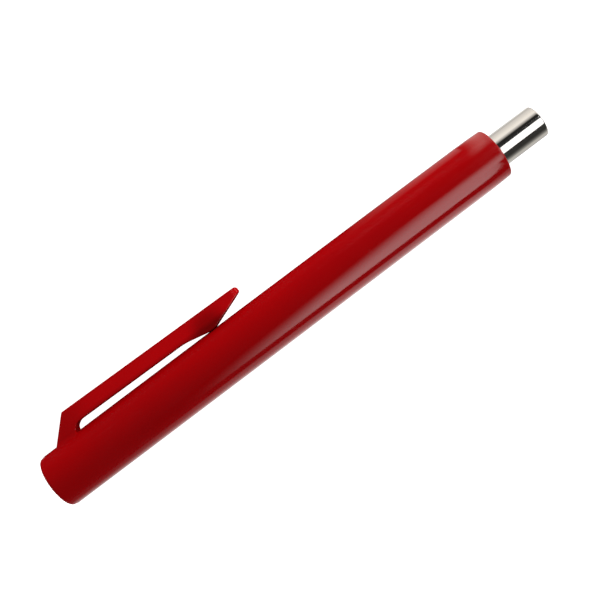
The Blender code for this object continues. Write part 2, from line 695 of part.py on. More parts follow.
def build_refill(parent):
    tube = tube_profile(REFILL_REAR_X, TUBE_FRONT_X, REFILL_BORE_R, REFILL_R, 0.05)
    smooth(turned("refill_tube", tube, SMALL_STEPS, "clear_tube", parent))

    bore_fit = REFILL_BORE_R - 0.08
    plug_x0 = REFILL_REAR_X + 0.2
    plug = tube_profile(plug_x0, plug_x0 + PLUG_LENGTH, PLUG_VENT_R, bore_fit, 0.05)
    smooth(turned("vent_plug", plug, SMALL_STEPS, "white_plastic", parent))

    spigot_x = TUBE_FRONT_X - ADAPTER_SPIGOT
    socket_x = ADAPTER_FRONT_X - TIP_SHANK - FIXED_GAP
    adapter = [
        (spigot_x, ADAPTER_FEED_R), (spigot_x, bore_fit), (FLANGE_X, bore_fit),
        (FLANGE_X, ADAPTER_FLANGE_R), (SHOULDER_X, ADAPTER_FLANGE_R), (SHOULDER_X, ADAPTER_R),
        (ADAPTER_FRONT_X - 0.2, ADAPTER_R), (ADAPTER_FRONT_X, ADAPTER_R - 0.2),
        (ADAPTER_FRONT_X, ADAPTER_BORE_R), (socket_x, ADAPTER_BORE_R), (socket_x, ADAPTER_FEED_R),
    ]
    smooth(turned("tip_adapter", adapter, SMALL_STEPS, "white_plastic", parent))

    shank_r = ADAPTER_BORE_R - 0.08
    socket_r = BALL_R + BALL_GAP
    rim_hole = math.sqrt(BALL_R ** 2 - (RIM_X - BALL_X) ** 2) + BALL_GAP
    shank_x = ADAPTER_FRONT_X - TIP_SHANK
    back_x = BALL_X - BALL_R * 0.8
    tip = [
        (shank_x, TIP_FEED_R), (shank_x, shank_r), (TIP_SHOULDER_X, shank_r),
        (TIP_SHOULDER_X, TIP_R), (CONE_X, TIP_R), (RIM_X, TIP_RIM_R), (RIM_X, rim_hole),
        (BALL_X + 0.05, socket_r), (back_x, socket_r), (back_x - 0.3, TIP_FEED_R),
    ]
    smooth(turned("refill_tip", tip, SMALL_STEPS, "brass", parent))

    ink_front = spigot_x - FIXED_GAP
    ink_rear = ink_front - INK_LENGTH
    ink = [(ink_rear, 0.0), (ink_rear, bore_fit), (ink_front, bore_fit), (ink_front, 0.0)]
    smooth(turned("ink_column", ink, SMALL_STEPS, "ink", parent, closed=False))
    grease_front = ink_rear - FIXED_GAP
    grease_rear = grease_front - FOLLOWER_LENGTH
    grease = [
        (grease_rear, 0.0), (grease_rear, bore_fit), (grease_front, bore_fit), (grease_front, 0.0),
    ]
    smooth(turned("grease_follower", grease, SMALL_STEPS, "grease", parent, closed=False))


def build_ball(parent):
    shape = bmesh.new()
    bmesh.ops.create_uvsphere(
        shape, u_segments=16, v_segments=10, radius=BALL_R * MM,
        matrix=Matrix.Translation(Vector((BALL_X, 0, 0)) * MM),
    )
    mesh = bpy.data.meshes.new("writing_ball")
    shape.to_mesh(mesh)
    shape.free()
    smooth(add_object("writing_ball", mesh, "carbide", parent))


# ---------------------------------------------------------------- the pen

clear_scene()
PARTS = new_collection(OBJECT_NAME)
CUTTERS = new_collection("cutters", render=False)
GUIDES = new_collection("guides", render=False)


def main():
    pen = make_empty("pen_frame")
    clip_pivot_y = (clip_outer_y(CLIP_SPLIT_X) + slot_top_y(CLIP_SPLIT_X)) / 2
    clip_axis = make_empty("clip_axis", CLIP_SPLIT_X, clip_pivot_y, 0.0, pen)
    nose_axis = make_empty("nose_axis", BARREL_LENGTH, 0.0, 0.0, pen)
    refill_axis = make_empty("refill_axis", REFILL_REAR_X, 0.0, 0.0, nose_axis)
    ball_centre = make_empty("ball_centre", BALL_X, 0.0, 0.0, refill_axis)

    build_barrel(pen)
    build_clip_arm(clip_axis)
    build_cam_sleeve(pen)
    build_front_bush(pen)
    build_rear_bearing(pen)
    build_nose_tube(nose_axis)
    build_nose_insert(nose_axis)
    build_driver_tube(nose_axis)
    build_return_spring(nose_axis)
    build_carrier(refill_axis)
    build_refill(refill_axis)
    build_ball(ball_centre)


main()
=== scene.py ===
"""The look of a twist-action ballpoint pen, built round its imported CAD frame.

The pen lies along X with its blunt end at X = 0, its nose toward +X and its clip on the
+Y side. Every piece that shows is modelled finely here, and every inner piece of the
frame gets its own finish. Lengths are in metres.
"""

import json
import math

import bmesh
import bpy
from bpy.props import FloatProperty, FloatVectorProperty, PointerProperty
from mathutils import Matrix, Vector


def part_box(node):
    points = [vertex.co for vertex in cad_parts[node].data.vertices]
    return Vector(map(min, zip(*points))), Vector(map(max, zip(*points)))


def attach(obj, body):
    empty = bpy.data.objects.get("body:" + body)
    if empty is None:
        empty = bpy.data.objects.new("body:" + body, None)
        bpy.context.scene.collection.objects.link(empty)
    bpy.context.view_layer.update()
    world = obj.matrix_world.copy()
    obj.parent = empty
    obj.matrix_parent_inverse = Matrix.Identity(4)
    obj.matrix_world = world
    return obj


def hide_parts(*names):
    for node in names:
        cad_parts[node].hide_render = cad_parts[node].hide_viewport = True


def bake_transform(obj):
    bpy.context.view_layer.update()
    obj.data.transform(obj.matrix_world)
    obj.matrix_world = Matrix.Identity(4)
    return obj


bl_info = {
    "name": "Twist ballpoint pen",
    "version": (1, 0, 0),
    "blender": (4, 5, 0),
    "location": "View3D > Sidebar > Pen",
    "description": "Builds the visible pieces, the finishes and the studio of a ballpoint pen",
    "category": "Object",
}

MM = 0.001
MERGE = 1e-7             # vertices closer than this are one
TURN_STEPS = 160         # facets round the large turned pieces
SMALL_TURN_STEPS = 72
ROUNDING_SEGMENTS = 6
SEAT_GAP = 0.1 * MM      # between pieces pressed or seated together
HOLD = 0.12 * MM         # from a rounding to the loop that keeps the flat beside it flat
SHARP = math.radians(32) # edges that turn more than this stay crisp

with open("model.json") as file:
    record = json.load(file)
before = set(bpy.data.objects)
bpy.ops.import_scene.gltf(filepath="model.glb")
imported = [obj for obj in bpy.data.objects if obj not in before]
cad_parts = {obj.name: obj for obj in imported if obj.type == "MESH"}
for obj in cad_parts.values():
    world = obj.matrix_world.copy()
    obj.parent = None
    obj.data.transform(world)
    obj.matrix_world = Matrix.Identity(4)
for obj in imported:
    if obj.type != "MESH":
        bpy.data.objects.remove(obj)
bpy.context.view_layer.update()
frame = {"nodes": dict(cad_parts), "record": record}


def radius_of(node):
    """How far a turned node reaches from the pen's axis."""
    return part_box(node)[1].z


def span(node):
    """Where a node starts and ends along the pen."""
    low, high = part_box(node)
    return low.x, high.x


BARREL_LENGTH = span("barrel")[1]
REAR_RADIUS = radius_of("barrel")
CLIP_HALF_WIDTH = radius_of("clip_arm")
CLIP_END = span("clip_arm")[1]
BOUNCE_START = BARREL_LENGTH - 5 * MM    # where the sheet behind the nose begins
EDGE_LEAN = 0.016        # how far the arm's outer edge falls for each length along it
PEN_MIDDLE = Vector((70 * MM, 0.0, 0.0))


# ---------------------------------------------------------------- settings

def length(name, description, default):
    return FloatProperty(
        name=name, description=description, default=default, min=0.0, precision=5,
        subtype="DISTANCE", unit="LENGTH",
    )


def share(name, description, default):
    return FloatProperty(
        name=name, description=description, default=default, min=0.0, max=1.0, subtype="FACTOR",
    )


def angle(name, description, degrees):
    return FloatProperty(
        name=name, description=description, default=math.radians(degrees),
        subtype="ANGLE", unit="ROTATION",
    )


def colour(name, description, default):
    return FloatVectorProperty(
        name=name, description=description, default=default, size=3, min=0.0, max=1.0,
        subtype="COLOR",
    )


class BarrelShape(bpy.types.PropertyGroup):
    taper: length("Taper", "How much slimmer the mouth is than the blunt end, in radius", 0.25 * MM)
    taper_power: FloatProperty(
        name="Taper power", description="Above 1, most of the taper is toward the mouth",
        default=2.2, min=1.0, max=4.0,
    )
    crown_length: length("Crown length", "The part behind the mouth that curves inward", 8 * MM)
    crown_drop: length("Crown drop", "How far the crown curves inward", 0.16 * MM)
    rear_rounding: length("Blunt end rounding", "Radius round the blunt end", 0.85 * MM)
    mouth_rounding: length("Mouth rounding", "Radius round the mouth", 0.45 * MM)
    end_wall: length("End wall", "Thickness of the blunt end", 3 * MM)


class ClipShape(bpy.types.PropertyGroup):
    root: length("Root", "Where the foot leaves the barrel", 5.44 * MM)
    foot_angle: angle("Foot angle", "Slope of the foot's back", 45.3)
    rise: length("Rise", "Height of the outer corner above the barrel", 5.72 * MM)
    lean: length("Lean", "How much lower the outer edge is at its end", 0.85 * MM)
    end_thickness: length("End thickness", "Thickness of the clip's end", 1.5 * MM)
    foot_depth: length("Foot depth", "From the root to the start of the slot", 5.7 * MM)
    slot_lean: length("Slot lean", "How far the slot's closed end leans forward", 0.75 * MM)
    slot_height: length("Slot height", "Slot under the arm, at the foot", 1.74 * MM)
    slot_end_height: length("Slot end height", "Slot under the arm, before the bump", 1.35 * MM)
    slot_rounding: length("Slot rounding", "Rounding of the slot's closed end", 1.6 * MM)
    bump_back: length("Bump place", "Middle of the bump, behind the clip's end", 10.3 * MM)
    bump_run: length("Bump run", "Over which the arm comes down to the bump", 7.4 * MM)
    bump_flat: length("Bump flat", "Length of the bump that rests on the barrel", 1.9 * MM)
    edge_rounding: length("Edge rounding", "Radius along the clip's edges", 0.25 * MM)
    plan_rounding: length("End rounding", "Radius of the clip's end, seen from outside", 1.9 * MM)
    flare: length("Flare", "Radius between the foot's sides and the barrel", 1.1 * MM)
    back_flare: length("Back flare", "Radius between the foot's back and the barrel", 0.4 * MM)
    slot_flare: length("Slot flare", "Radius at the bottom of the slot's closed end", 0.35 * MM)


class NoseShape(bpy.types.PropertyGroup):
    radius: length("Radius", "Outer radius of the chrome nose", 4.05 * MM)
    wall: length("Wall", "Wall of the drawn tube", 0.45 * MM)
    end_wall: length("End wall", "Thickness of the closed-in end", 0.6 * MM)
    rounding: length("Edge rounding", "Radius round the nose's end", 0.5 * MM)
    hole: length("Hole", "Radius of the hole for the tip", 1.4 * MM)
    flange: length("Flange", "Length of the flange inside the barrel", 1.2 * MM)


class PenFinish(bpy.types.PropertyGroup):
    red: colour("Red", "Body of the moulded plastic", (0.40, 0.0004, 0.0016))
    deep_red: colour("Deep red", "Where the plastic is a little denser", (0.36, 0.0003, 0.0018))
    chrome: colour("Chrome", "Plated nose", (0.90, 0.885, 0.865))
    grey: colour("Grey", "Twist action's plastic", (0.42, 0.43, 0.45))
    white: colour("White", "Guides and carrier", (0.80, 0.80, 0.77))
    black: colour("Black", "Bushes", (0.018, 0.018, 0.020))
    ink: colour("Ink", "Blue ink", (0.008, 0.014, 0.13))
    # Painted light: the clip's base colour is scaled this much lighter along its thin arm.
    arm_painted_light: FloatProperty(name="Arm painted light", description="How much lighter the clip's thin arm is",
                            default=1.5, min=1.0, max=2.0)
    # Painted shade: the clip's base colour is scaled down to this near its bump on the barrel.
    bump_painted_shade: share("Bump shade", "How light the clip is where it thickens to its bump", 0.85)
    roughness: share("Gloss roughness", "Roughness of the barrel and clip", 0.11)


class Studio(bpy.types.PropertyGroup):
    camera_x: length("Camera X", "Camera's place along the pen", 70.7 * MM)
    camera_height: length("Camera height", "Camera above the pen's axis", 217.4 * MM)
    camera_turn: angle("Camera turn", "Turns the pen in the picture", -37.0)
    lens: FloatProperty(name="Lens", description="Focal length in mm", default=56.05, min=10.0)
    softbox: FloatProperty(name="Softbox", description="Brightness of the softbox",
                           default=2.9, min=0.0)
    key: FloatProperty(name="Key light", description="Power of the soft key light in watts",
                       default=1.52, min=0.0)
    side: FloatProperty(name="Side light", default=0.65, min=0.0,
                        description="Power of the soft light past the nose, in watts")
    fill: FloatProperty(name="Fill", description="Brightness of the even fill light",
                        default=0.285, min=0.0)


# ---------------------------------------------------------------- mesh tools

def turned(outline, steps, hollow=True):
    """A solid turned round the pen's axis. Each corner of the outline is (x, radius, rounding)."""
    shape = bmesh.new()
    corners = [shape.verts.new((x, 0.0, radius)) for x, radius, _ in outline]
    pairs = list(zip(corners, corners[1:]))
    if hollow:
        pairs.append((corners[-1], corners[0]))
    for pair in pairs:
        shape.edges.new(pair)
    round_corners(shape, corners, [rounding for *_, rounding in outline])
    bmesh.ops.spin(
        shape, geom=shape.verts[:] + shape.edges[:], cent=(0, 0, 0), axis=(1, 0, 0),
        angle=2 * math.pi, steps=steps, use_merge=True, use_duplicate=False,
    )
    bmesh.ops.remove_doubles(shape, verts=shape.verts[:], dist=MERGE)
    bmesh.ops.recalc_face_normals(shape, faces=shape.faces[:])
    return shape


def round_corners(shape, corners, roundings):
    for corner, rounding in zip(corners, roundings):
        if rounding:
            bmesh.ops.bevel(
                shape, geom=[corner], offset=rounding, offset_type="OFFSET",
                segments=ROUNDING_SEGMENTS, profile=0.5, affect="VERTICES", material=-1,
            )


def new_parts(result, kind):
    return [part for part in result["geom"] if isinstance(part, kind)]


def add_piece(shape, name, slot, body=None, stands_for=()):
    """Makes the finished object of one piece. Without a body, it is left unattached."""
    for face in shape.faces:
        face.smooth = True
    mesh = bpy.data.meshes.new(name)
    shape.to_mesh(mesh)
    shape.free()
    mesh.set_sharp_from_angle(angle=SHARP)
    piece = bpy.data.objects.new(name, mesh)
    bpy.context.scene.collection.objects.link(piece)
    piece.data.materials.append(finish(slot))
    if body:
        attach(piece, body)
    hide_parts(*stands_for)
    return piece


# ---------------------------------------------------------------- finishes

def add(tree, kind, inputs=(), **settings):
    """A node. Each input is a plain value or another node's output."""
    node = tree.nodes.new(kind)
    for key, value in settings.items():
        setattr(node, key, value)
    for key, value in dict(inputs).items():
        if isinstance(value, bpy.types.NodeSocket):
            tree.links.new(value, node.inputs[key])
        else:
            node.inputs[key].default_value = value
    return node


def new_group(name, inputs, outputs):
    """An empty node group with named sockets, its input node and its output node."""
    tree = bpy.data.node_groups.new(name, "ShaderNodeTree")
    for label, kind, default in inputs:
        socket = tree.interface.new_socket(label, in_out="INPUT", socket_type=kind)
        if default is not None:
            socket.default_value = default
    for label, kind in outputs:
        tree.interface.new_socket(label, in_out="OUTPUT", socket_type=kind)
    return tree, tree.nodes.new("NodeGroupInput"), tree.nodes.new("NodeGroupOutput")


def noise(tree, vector, scale, detail=3.0, roughness=0.5, distortion=0.0):
    return add(tree, "ShaderNodeTexNoise", {
        "Vector": vector, "Scale": scale, "Detail": detail, "Roughness": roughness,
        "Distortion": distortion,
    })


def stretched(tree, vector, scale):
    return add(tree, "ShaderNodeMapping", {"Vector": vector, "Scale": scale}).outputs["Vector"]


def remap(tree, value, low, high, to_low=0.0, to_high=1.0, smooth=False):
    return add(tree, "ShaderNodeMapRange", {
        "Value": value, "From Min": low, "From Max": high, "To Min": to_low, "To Max": to_high,
    }, interpolation_type="SMOOTHSTEP" if smooth else "LINEAR").outputs["Result"]


def maths(tree, operation, first, second):
    node = add(tree, "ShaderNodeMath", operation=operation)
    for socket, value in zip(node.inputs, (first, second)):
        if isinstance(value, bpy.types.NodeSocket):
            tree.links.new(value, socket)
        else:
            socket.default_value = value
    return node.outputs["Value"]


def blended(tree, factor, first, second):
    node = add(tree, "ShaderNodeMix", {"Factor": factor}, data_type="RGBA")
    for socket, value in ((node.inputs[6], first), (node.inputs[7], second)):
        if isinstance(value, bpy.types.NodeSocket):
            tree.links.new(value, socket)
        else:
            socket.default_value = (*value[:3], 1.0)
    return node.outputs[2]


def mottle_group():
    """Slow changes of shade in a moulding, and the faint waviness of its skin."""
    tree, start, end = new_group("Moulded skin", [
        ("Vector", "NodeSocketVector", None), ("Thin", "NodeSocketColor", (0.5, 0.5, 0.5, 1.0)),
        ("Dense", "NodeSocketColor", (0.4, 0.4, 0.4, 1.0)), ("Grain", "NodeSocketFloat", 2500.0),
    ], [("Colour", "NodeSocketColor"), ("Mottle", "NodeSocketFloat"),
        ("Height", "NodeSocketFloat")])
    slow = noise(tree, start.outputs["Vector"], 60.0, 2.0).outputs["Fac"]
    flow = stretched(tree, start.outputs["Vector"], (25.0, 160.0, 160.0))
    streaks = noise(tree, flow, 1.0, 3.0, 0.6).outputs["Fac"]
    mottle = remap(tree, maths(tree, "ADD", slow, streaks), 0.7, 1.3)
    shade = blended(tree, mottle, start.outputs["Thin"], start.outputs["Dense"])
    grain = noise(tree, start.outputs["Vector"], start.outputs["Grain"], 2.0).outputs["Fac"]
    skin = maths(tree, "ADD", maths(tree, "MULTIPLY", slow, 0.6),
                 maths(tree, "MULTIPLY", grain, 0.4))
    for label, value in (("Colour", shade), ("Mottle", mottle), ("Height", skin)):
        tree.links.new(value, end.inputs[label])
    return tree


def handling_group():
    """Hairline scratches and faint smears left by handling, as masks from 0 to 1."""
    tree, start, end = new_group("Handling marks", [
        ("Vector", "NodeSocketVector", None), ("Amount", "NodeSocketFloat", 0.5),
    ], [("Scratches", "NodeSocketFloat"), ("Smears", "NodeSocketFloat")])
    lines = []
    for scale in ((60.0, 1900.0, 1900.0), (1500.0, 420.0, 1500.0)):
        fine = stretched(tree, start.outputs["Vector"], scale)
        lines.append(remap(tree, noise(tree, fine, 1.0, 1.0).outputs["Fac"], 0.69, 0.73))
    patches = remap(tree, noise(tree, start.outputs["Vector"], 130.0, 2.0).outputs["Fac"],
                    0.52, 0.68)
    marks = maths(tree, "MULTIPLY", maths(tree, "MAXIMUM", *lines), patches)
    smears = noise(tree, start.outputs["Vector"], 95.0, 4.0, 0.6, 0.8).outputs["Fac"]
    for label, value in (("Scratches", marks), ("Smears", remap(tree, smears, 0.45, 0.7))):
        tree.links.new(maths(tree, "MULTIPLY", value, start.outputs["Amount"]), end.inputs[label])
    return tree


def painted_arm_light_group():
    """Painted light and shade for the clip: colour scaled lighter along the thin arm as painted
    light through it, and darker as painted shade at its edges and near its bump.
    """
    tree, start, end = new_group("Arm painted light and shade", [
        ("Vector", "NodeSocketVector", None), ("Colour", "NodeSocketColor", (0.5, 0.5, 0.5, 1.0)),
        ("Painted glow", "NodeSocketFloat", 1.3), ("Shade", "NodeSocketFloat", 0.6),
        ("Bump", "NodeSocketVector", (0.0, 0.0, 0.0)), ("Inner edge", "NodeSocketFloat", 8.4 * MM),
        ("Outer edge", "NodeSocketFloat", 12.4 * MM),
    ], [("Colour", "NodeSocketColor")])
    place = start.outputs["Vector"]
    split = add(tree, "ShaderNodeSeparateXYZ", {"Vector": place})
    thin = remap(tree, split.outputs["X"], 9 * MM, 20 * MM, 0.0, 1.0, smooth=True)
    gap = add(tree, "ShaderNodeVectorMath", {0: place, 1: start.outputs["Bump"]},
              operation="DISTANCE")
    bump_shade_mask = remap(tree, gap.outputs["Value"], 2.2 * MM, 6.5 * MM, 1.0, 0.0, smooth=True)
    # Painted light: the colour is scaled from 1.12 at the foot up to the glow factor along the thin
    # arm, standing in for light through it.
    lit = add(tree, "ShaderNodeMix", {"Factor": thin, "A": 1.12, "B": start.outputs["Painted glow"]})
    # Painted shade: close to the bump the factor falls to the shade value, darkening the arm where
    # it comes down onto the barrel.
    lit = add(tree, "ShaderNodeMix", {
        "Factor": bump_shade_mask, "A": lit.outputs["Result"], "B": start.outputs["Shade"]})
    leaning = add(tree, "ShaderNodeVectorMath", {0: place, 1: (EDGE_LEAN, 1.0, 0.0)},
                  operation="DOT_PRODUCT").outputs["Value"]
    # Painted shade: the colour darkens toward the arm's inner and outer edges.
    inner = remap(tree, maths(tree, "SUBTRACT", leaning, start.outputs["Inner edge"]),
                  0.0, 1.1 * MM, 0.6, 1.0)
    outer = remap(tree, maths(tree, "SUBTRACT", start.outputs["Outer edge"], leaning),
                  0.0, 0.6 * MM, 0.6, 1.0)
    edges = add(tree, "ShaderNodeMix", {
        "Factor": thin, "A": 1.0, "B": maths(tree, "MULTIPLY", inner, outer)}).outputs["Result"]
    shade = add(tree, "ShaderNodeVectorMath", {0: start.outputs["Colour"]}, operation="SCALE")
    tree.links.new(maths(tree, "MULTIPLY", lit.outputs["Result"], edges), shade.inputs["Scale"])
    tree.links.new(shade.outputs["Vector"], end.inputs["Colour"])
    return tree


def tool_lines_group():
    """Rings left by turning, or streaks left by drawing, round and along the pen's axis."""
    tree, start, end = new_group("Tool lines", [
        ("Vector", "NodeSocketVector", None), ("Rings", "NodeSocketFloat", 9000.0),
        ("Streaks", "NodeSocketFloat", 0.5),
    ], [("Height", "NodeSocketFloat"), ("Shade", "NodeSocketFloat")])
    rings = add(tree, "ShaderNodeTexWave", {
        "Vector": start.outputs["Vector"], "Scale": start.outputs["Rings"], "Distortion": 1.5,
        "Detail": 2.0,
    }, wave_type="BANDS", bands_direction="X").outputs["Fac"]
    drawn = stretched(tree, start.outputs["Vector"], (40.0, 2600.0, 2600.0))
    streaks = noise(tree, drawn, 1.0, 4.0, 0.6).outputs["Fac"]
    height = add(tree, "ShaderNodeMix", {
        "Factor": start.outputs["Streaks"], "A": rings, "B": streaks})
    tree.links.new(height.outputs["Result"], end.inputs["Height"])
    tree.links.new(remap(tree, streaks, 0.3, 0.7), end.inputs["Shade"])
    return tree


def placed(tree, name, build, place, values=()):
    """A shared group, built once, with its own values in this material."""
    group = bpy.data.node_groups.get(name) or build()
    return add(tree, "ShaderNodeGroup", {"Vector": place, **dict(values)}, node_tree=group)


def emptied(owner):
    """The node tree of a material or world, with nothing in it."""
    owner.use_nodes = True
    owner.node_tree.nodes.clear()
    return owner.node_tree


def new_material(name):
    material = bpy.data.materials.new(name)
    tree = emptied(material)
    place = tree.nodes.new("ShaderNodeTexCoord").outputs["Object"]
    shader = tree.nodes.new("ShaderNodeBsdfPrincipled")
    output = tree.nodes.new("ShaderNodeOutputMaterial")
    tree.links.new(shader.outputs["BSDF"], output.inputs["Surface"])
    return material, tree, place, shader


def bumped(tree, shader, height, strength, distance):
    bump = add(tree, "ShaderNodeBump", {
        "Height": height, "Strength": strength, "Distance": distance})
    tree.links.new(bump.outputs["Normal"], shader.inputs["Normal"])


def plastic(name, thin, dense, roughness, wear, skin, ior=1.5, alpha=1.0):
    """Moulded plastic: mottled shade, faint skin waviness, hairlines and smears."""
    material, tree, place, shader = new_material(name)
    skin_node = placed(tree, "Moulded skin", mottle_group, place, {
        "Thin": (*thin, 1.0), "Dense": (*dense, 1.0)})
    marks = placed(tree, "Handling marks", handling_group, place, {"Amount": wear})
    tree.links.new(skin_node.outputs["Colour"], shader.inputs["Base Color"])
    rough = remap(tree, skin_node.outputs["Mottle"], 0.0, 1.0, roughness * 0.9, roughness * 1.12)
    rough = maths(tree, "ADD", rough, maths(tree, "MULTIPLY", marks.outputs["Smears"], 0.05))
    rough = maths(tree, "ADD", rough, maths(tree, "MULTIPLY", marks.outputs["Scratches"], 0.22))
    tree.links.new(rough, shader.inputs["Roughness"])
    height = maths(tree, "SUBTRACT", skin_node.outputs["Height"],
                   maths(tree, "MULTIPLY", marks.outputs["Scratches"], 0.8))
    bumped(tree, shader, height, skin, 0.02 * MM)
    shader.inputs["IOR"].default_value = ior
    shader.inputs["Alpha"].default_value = alpha
    return material


def clip_plastic(name):
    """The barrel's red, with painted light along its thin arm and painted shade at its edges and
    bump.
    """
    look = bpy.context.scene.pen_finish
    material = plastic(name, look.red, look.deep_red, look.roughness, 0.5, 0.05)
    tree = material.node_tree
    shader = next(node for node in tree.nodes if node.type == "BSDF_PRINCIPLED")
    clip = bpy.context.scene.pen_clip
    bump_x = CLIP_END - clip.bump_back
    corner_x, corner_y = clip_corner()
    place = tree.nodes["Texture Coordinate"].outputs["Object"]
    thin = placed(tree, "Arm painted light and shade", painted_arm_light_group, place, {
        "Colour": shader.inputs["Base Color"].links[0].from_socket,
        # Painted light and painted shade: how much lighter the arm and how much darker the bump are
        # drawn.
        "Painted glow": look.arm_painted_light, "Shade": look.bump_painted_shade,
        "Bump": (bump_x, barrel_radius(bump_x), CLIP_HALF_WIDTH),
        "Inner edge": barrel_radius(corner_x) + clip.slot_height + EDGE_LEAN * corner_x,
        "Outer edge": corner_y + EDGE_LEAN * corner_x,
    })
    tree.links.new(thin.outputs["Colour"], shader.inputs["Base Color"])
    return material


def metal(name, tint, dark, roughness, rings, streaks, lines, wear):
    """Bright metal with tool lines and a little handling."""
    material, tree, place, shader = new_material(name)
    tool = placed(tree, "Tool lines", tool_lines_group, place, {
        "Rings": rings, "Streaks": streaks})
    marks = placed(tree, "Handling marks", handling_group, place, {"Amount": wear})
    tree.links.new(blended(tree, tool.outputs["Shade"], tint, dark), shader.inputs["Base Color"])
    rough = remap(tree, tool.outputs["Shade"], 0.0, 1.0, roughness * 0.85, roughness * 1.2)
    rough = maths(tree, "ADD", rough, maths(tree, "MULTIPLY", marks.outputs["Smears"], 0.06))
    rough = maths(tree, "ADD", rough, maths(tree, "MULTIPLY", marks.outputs["Scratches"], 0.15))
    tree.links.new(rough, shader.inputs["Roughness"])
    bumped(tree, shader, tool.outputs["Height"], lines, 0.01 * MM)
    shader.inputs["Metallic"].default_value = 1.0
    return material


def wet(name, thin, dense, roughness):
    """Ink and grease: smooth, with slow swirls of shade."""
    material, tree, place, shader = new_material(name)
    swirl = noise(tree, place, 700.0, 3.0, 0.5, 1.2).outputs["Fac"]
    tree.links.new(blended(tree, swirl, thin, dense), shader.inputs["Base Color"])
    rough = remap(tree, swirl, 0.0, 1.0, roughness, roughness * 1.5)
    tree.links.new(rough, shader.inputs["Roughness"])
    bumped(tree, shader, swirl, 0.1, 0.02 * MM)
    shader.inputs["IOR"].default_value = 1.42
    return material


def darker(tint, factor=0.85):
    return tuple(channel * factor for channel in tint)


def build_finish(slot):
    look = bpy.context.scene.pen_finish
    steel, brass, carbide = (0.60, 0.60, 0.61), (0.76, 0.55, 0.22), (0.33, 0.33, 0.36)
    rubber, grease, natural = (0.025, 0.025, 0.026), (0.72, 0.64, 0.36), (0.72, 0.76, 0.78)
    plastics = {    # body, denser shade, roughness, wear, skin's waviness, then IOR and alpha
        "red_plastic": (look.red, look.deep_red, look.roughness, 0.5, 0.05),
        "grey_plastic": (look.grey, darker(look.grey), 0.42, 0.3, 0.25),
        "white_plastic": (look.white, darker(look.white, 0.93), 0.38, 0.2, 0.2),
        "black_plastic": (look.black, darker(look.black), 0.40, 0.3, 0.3),
        "clear_tube": (natural, darker(natural, 0.9), 0.18, 0.2, 0.1, 1.49, 0.5),
        "rubber": (rubber, darker(rubber), 0.68, 0.2, 0.4),
    }
    metals = {      # tint, darker tint, roughness, wave scale, streaks, lines' depth, wear
        "chrome": (look.chrome, darker(look.chrome, 0.97), 0.06, 4000.0, 1.0, 0.006, 0.5),
        "spring_steel": (steel, darker(steel), 0.24, 9000.0, 0.8, 0.2, 0.4),
        "brass": (brass, darker(brass), 0.22, 9000.0, 0.2, 0.25, 0.4),
        "carbide": (carbide, darker(carbide), 0.12, 20000.0, 0.4, 0.05, 0.2),
    }
    liquids = {     # body, denser shade, roughness
        "ink": (look.ink, darker(look.ink, 0.6), 0.2),
        "grease": (grease, darker(grease, 0.8), 0.3),
    }
    for build, table in ((plastic, plastics), (metal, metals), (wet, liquids)):
        if slot in table:
            return build("pen_" + slot, *table[slot])
    raise ValueError(f"there is no finish for the slot {slot}")


def finish(slot):
    """The material of one slot, made the first time it is asked for."""
    return bpy.data.materials.get("pen_" + slot) or build_finish(slot)


# ---------------------------------------------------------------- barrel and clip

def barrel_radius(x):
    barrel = bpy.context.scene.pen_barrel
    along = min(max(x / BARREL_LENGTH, 0.0), 1.0)
    crown = max(0.0, (x - BARREL_LENGTH) / barrel.crown_length + 1.0)
    return REAR_RADIUS - barrel.taper * along ** barrel.taper_power - barrel.crown_drop * crown ** 2


def barrel_outline():
    """The barrel's section: its tapered skin, then the stepped bore from mouth to end wall."""
    barrel = bpy.context.scene.pen_barrel
    rear, mouth = barrel.rear_rounding, barrel.mouth_rounding
    crown_start = BARREL_LENGTH - barrel.crown_length
    points = [(0.0, 0.0, 0.0), (0.0, REAR_RADIUS - rear - HOLD, 0.0), (0.0, REAR_RADIUS, rear)]
    taper_cuts, crown_cuts = 12, 10
    skin = [rear + HOLD]
    skin += [rear + (crown_start - rear) * i / taper_cuts for i in range(1, taper_cuts + 1)]
    skin_end = BARREL_LENGTH - mouth - HOLD
    skin += [crown_start + (skin_end - crown_start) * i / crown_cuts
             for i in range(1, crown_cuts + 1)]
    points += [(x, barrel_radius(x), 0.0) for x in skin]
    points.append((BARREL_LENGTH, barrel_radius(BARREL_LENGTH), mouth))
    front_bore = radius_of("front_bush") + SEAT_GAP
    sleeve_bore = radius_of("cam_sleeve") + SEAT_GAP
    pocket = radius_of("rear_bearing") + SEAT_GAP
    step_x = span("nose_tube")[0] - 0.3 * MM
    seat_x = span("cam_sleeve")[0] - SEAT_GAP
    lead = 0.15 * MM
    return points + [
        (BARREL_LENGTH, front_bore, lead), (step_x, front_bore, 0.0), (step_x, sleeve_bore, lead),
        (seat_x, sleeve_bore, 0.0), (seat_x, pocket, lead), (barrel.end_wall, pocket, 0.0),
        (barrel.end_wall, 0.0, 0.0),
    ]


class PEN_OT_barrel(bpy.types.Operator):
    """Turns the red barrel, with its blunt end, its crown and its stepped bore"""

    bl_idname = "pen.barrel"
    bl_label = "Barrel"

    def execute(self, context):
        add_piece(turned(barrel_outline(), TURN_STEPS, hollow=False), "barrel_shell", "red_plastic",
                  "barrel", ["barrel"])
        return {"FINISHED"}


def clip_corner():
    """Outer corner of the clip in side view."""
    clip = bpy.context.scene.pen_clip
    return (clip.root + clip.rise / math.tan(clip.foot_angle), barrel_radius(clip.root) + clip.rise)


